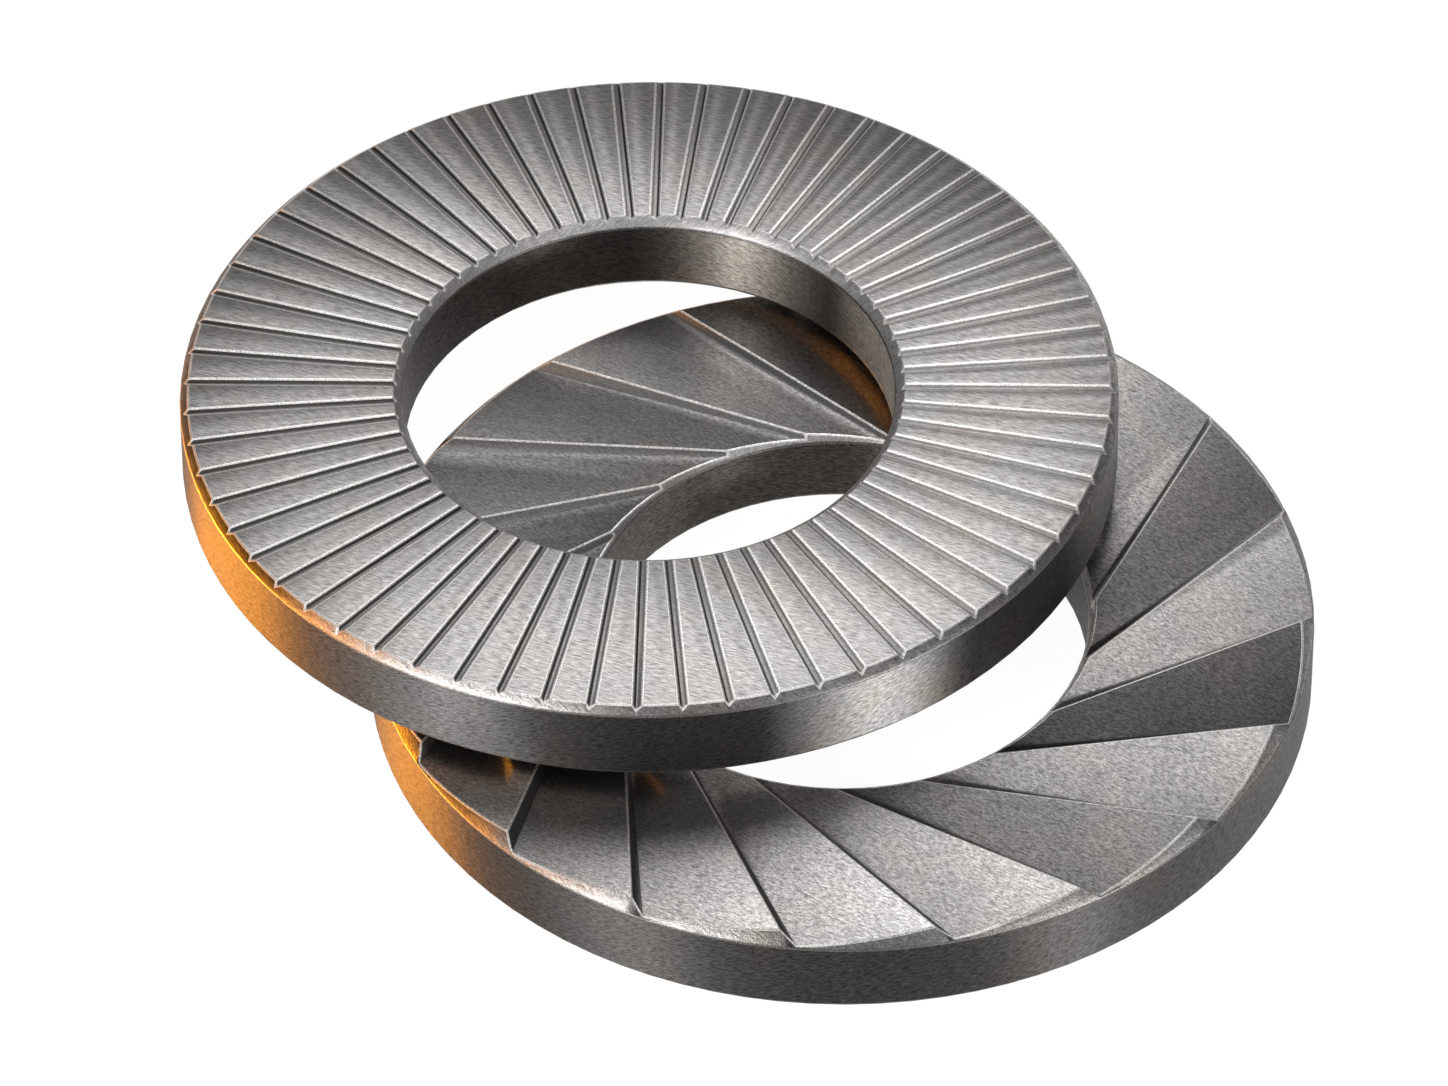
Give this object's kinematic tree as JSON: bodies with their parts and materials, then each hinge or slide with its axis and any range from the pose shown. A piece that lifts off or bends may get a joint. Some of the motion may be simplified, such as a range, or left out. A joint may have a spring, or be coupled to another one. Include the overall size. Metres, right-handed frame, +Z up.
{
  "type": "wedge lock washer pair",
  "caption": "Pair of matching steel ring washers with radial serrations on one face and swirled wedge cams on the other, lying one across the other.",
  "frame": {"origin": "on the axis of the lower washer's bore, in the plane that the lower washer lies on", "axes": "+Z up, along the lower washer's bore axis, from its serrated face to its cams; +Y away from the viewer of the picture and +X to that viewer's right; the upper washer lies across the lower one towards -X and +Y"},
  "size_m": [0.02, 0.0204, 0.0035],
  "materials": {
    "steel": "bare grey steel, tumbled, with fine grain"
  },
  "bodies": {
    "root": {"upper_washer": "steel", "lower_washer": "steel"}
  },
  "joints": []
}
